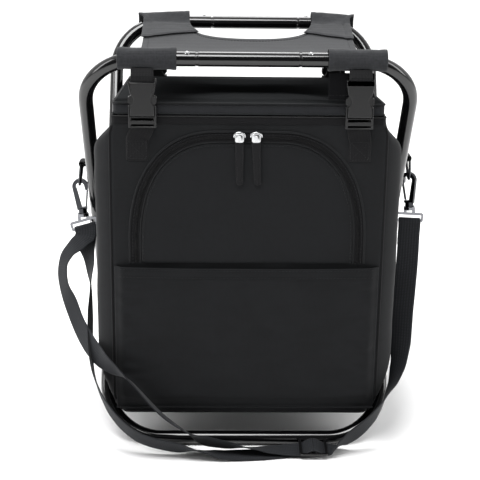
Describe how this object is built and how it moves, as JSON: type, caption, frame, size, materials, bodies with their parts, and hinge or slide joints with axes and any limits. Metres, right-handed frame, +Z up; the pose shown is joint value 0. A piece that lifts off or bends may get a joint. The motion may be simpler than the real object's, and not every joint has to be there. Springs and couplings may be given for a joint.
{
  "type": "folding cooler stool",
  "caption": "Folding stool: crossed black tube hoops, grey cloth seat, charcoal insulated bag hung between on buckled webbing, zipped lid and pocket, shoulder strap.",
  "frame": {"origin": "centre of the footprint box, on the floor", "axes": "+Z up, +Y from the front (pocket side) to the back, +X to the right as seen from the front"},
  "size_m": [0.4145, 0.3317, 0.4325],
  "materials": {
    "tube": "gloss black enamel on steel tube",
    "rivet": "bright nickel plated rivet",
    "seat_cloth": "woven heather grey polyester, padded",
    "bag_cloth": "woven charcoal polyester with a matt coating",
    "foam": "closed-cell foam sheet",
    "liner": "welded silver-grey film",
    "board": "stiff plastic sheet",
    "zip_tape": "woven zip tape with coil",
    "webbing": "woven polyester webbing",
    "buckle_plastic": "moulded acetal, fine satin",
    "nickel": "dark nickel plating"
  },
  "bodies": {
    "bag_body": {"seat": "seat_cloth", "bag_shell": "bag_cloth", "foam_lining": "foam", "bag_liner": "liner", "base_board": "board", "lid_zip": "zip_tape", "pocket_zip": "zip_tape", "pocket_door": "bag_cloth", "slip_pocket": "bag_cloth", "front_left_socket": "buckle_plastic", "front_left_plug": "buckle_plastic", "front_left_upper_webbing": "webbing", "front_left_lower_webbing": "webbing", "front_right_socket": "buckle_plastic", "front_right_plug": "buckle_plastic", "front_right_upper_webbing": "webbing", "front_right_lower_webbing": "webbing", "rear_left_socket": "buckle_plastic", "rear_left_plug": "buckle_plastic", "rear_left_upper_webbing": "webbing", "rear_left_lower_webbing": "webbing", "rear_right_socket": "buckle_plastic", "rear_right_plug": "buckle_plastic", "rear_right_upper_webbing": "webbing", "rear_right_lower_webbing": "webbing", "left_ring_tab": "webbing", "right_ring_tab": "webbing", "shoulder_strap": "webbing", "strap_slider": "buckle_plastic"},
    "outer_hoop_body": {"outer_hoop": "tube", "front_joining_tube": "tube", "front_joint_rivet_left": "rivet", "front_joint_rivet_right": "rivet", "pivot_rivet_left": "rivet", "pivot_rivet_right": "rivet", "hanger_flap": "seat_cloth"},
    "inner_hoop_body": {"inner_hoop": "tube", "rear_joining_tube": "tube", "rear_joint_rivet_left": "rivet", "rear_joint_rivet_right": "rivet"},
    "lid_body": {"lid": "bag_cloth"},
    "lid_slider_body": {"lid_slider": "nickel"},
    "left_slider_body": {"pocket_slider_left": "nickel"},
    "left_pull_body": {"pocket_pull_left": "zip_tape"},
    "right_slider_body": {"pocket_slider_right": "nickel"},
    "right_pull_body": {"pocket_pull_right": "zip_tape"},
    "left_prong_l_body": {"front_left_prong_l": "buckle_plastic"},
    "left_prong_r_body": {"front_left_prong_r": "buckle_plastic"},
    "right_prong_l_body": {"front_right_prong_l": "buckle_plastic"},
    "right_prong_r_body": {"front_right_prong_r": "buckle_plastic"},
    "left_ring_body": {"left_d_ring": "nickel", "left_swivel_loop": "nickel"},
    "left_hook_body": {"left_hook": "nickel"},
    "left_gate_body": {"left_gate": "nickel"},
    "right_ring_body": {"right_d_ring": "nickel", "right_swivel_loop": "nickel"},
    "right_hook_body": {"right_hook": "nickel"},
    "right_gate_body": {"right_gate": "nickel"}
  },
  "joints": [
    {"name": "outer_fold", "type": "hinge", "parent": "bag_body", "child": "outer_hoop_body", "pos_m": [0.004, 0.018, 0.215], "axis": [-1, 0, 0], "range_deg": [0, 30], "deforming": ["seat", "shoulder_strap", "left_ring_tab", "right_ring_tab", "front_left_upper_webbing", "front_right_upper_webbing", "rear_left_upper_webbing", "rear_right_upper_webbing"]},
    {"name": "inner_fold", "type": "hinge", "parent": "bag_body", "child": "inner_hoop_body", "pos_m": [0.004, 0.018, 0.215], "axis": [1, 0, 0], "range_deg": [0, 30]},
    {"name": "lid_open", "type": "hinge", "parent": "bag_body", "child": "lid_body", "pos_m": [0.004, 0.148, 0.3483], "axis": [-1, 0, 0], "range_deg": [0, 5]},
    {"name": "lid_slider_slide", "type": "slide", "parent": "bag_body", "child": "lid_slider_body", "axis": [0, 0.9978, -0.0663], "range_m": [-0.13, 0.015]},
    {"name": "left_slider_slide", "type": "slide", "parent": "bag_body", "child": "left_slider_body", "axis": [-1, 0, 0], "range_m": [0, 0.03]},
    {"name": "right_slider_slide", "type": "slide", "parent": "bag_body", "child": "right_slider_body", "axis": [1, 0, 0], "range_m": [0, 0.03]},
    {"name": "left_pull_swing", "type": "hinge", "parent": "left_slider_body", "child": "left_pull_body", "pos_m": [-0.0055, -0.1272, 0.338], "axis": [-1, 0, 0], "range_deg": [0, 80]},
    {"name": "right_pull_swing", "type": "hinge", "parent": "right_slider_body", "child": "right_pull_body", "pos_m": [0.0115, -0.1272, 0.338], "axis": [-1, 0, 0], "range_deg": [0, 80]},
    {"name": "left_prong_l_press", "type": "slide", "parent": "bag_body", "child": "left_prong_l_body", "axis": [1, 0, 0], "range_m": [0, 0.0026], "stiffness_N_per_m": 300},
    {"name": "left_prong_r_press", "type": "slide", "parent": "bag_body", "child": "left_prong_r_body", "axis": [-1, 0, 0], "range_m": [0, 0.0026], "stiffness_N_per_m": 300},
    {"name": "right_prong_l_press", "type": "slide", "parent": "bag_body", "child": "right_prong_l_body", "axis": [1, 0, 0], "range_m": [0, 0.0026], "stiffness_N_per_m": 300},
    {"name": "right_prong_r_press", "type": "slide", "parent": "bag_body", "child": "right_prong_r_body", "axis": [-1, 0, 0], "range_m": [0, 0.0026], "stiffness_N_per_m": 300},
    {"name": "left_ring_swing", "type": "hinge", "parent": "bag_body", "child": "left_ring_body", "pos_m": [-0.178, -0.004, 0.287], "axis": [0, 1, 0], "range_deg": [0, 25]},
    {"name": "right_ring_swing", "type": "hinge", "parent": "bag_body", "child": "right_ring_body", "pos_m": [0.186, -0.004, 0.296], "axis": [0, -1, 0], "range_deg": [0, 25]},
    {"name": "left_hook_swivel", "type": "hinge", "parent": "left_ring_body", "child": "left_hook_body", "pos_m": [-0.18102, -0.004, 0.26408], "axis": [-0.075, 0, 0.9972], "range_deg": [-20, 20]},
    {"name": "right_hook_swivel", "type": "hinge", "parent": "right_ring_body", "child": "right_hook_body", "pos_m": [0.188, -0.004, 0.27448], "axis": [-0.0698, 0, 0.9976], "range_deg": [0, 25]},
    {"name": "left_gate_open", "type": "hinge", "parent": "left_hook_body", "child": "left_gate_body", "pos_m": [-0.17428, -0.004, 0.23711], "axis": [0, -1, 0], "range_deg": [0, 20], "stiffness_Nm_per_rad": 0.02},
    {"name": "right_gate_open", "type": "hinge", "parent": "right_hook_body", "child": "right_gate_body", "pos_m": [0.18607, -0.0013, 0.24688], "axis": [0.5722, 0.8192, 0.04], "range_deg": [0, 20], "stiffness_Nm_per_rad": 0.02}
  ],
  "couplings": [
    {"joint": "inner_fold", "follows": "outer_fold", "ratio": 1},
    {"joint": "left_prong_r_press", "follows": "left_prong_l_press", "ratio": 1},
    {"joint": "right_prong_r_press", "follows": "right_prong_l_press", "ratio": 1}
  ]
}
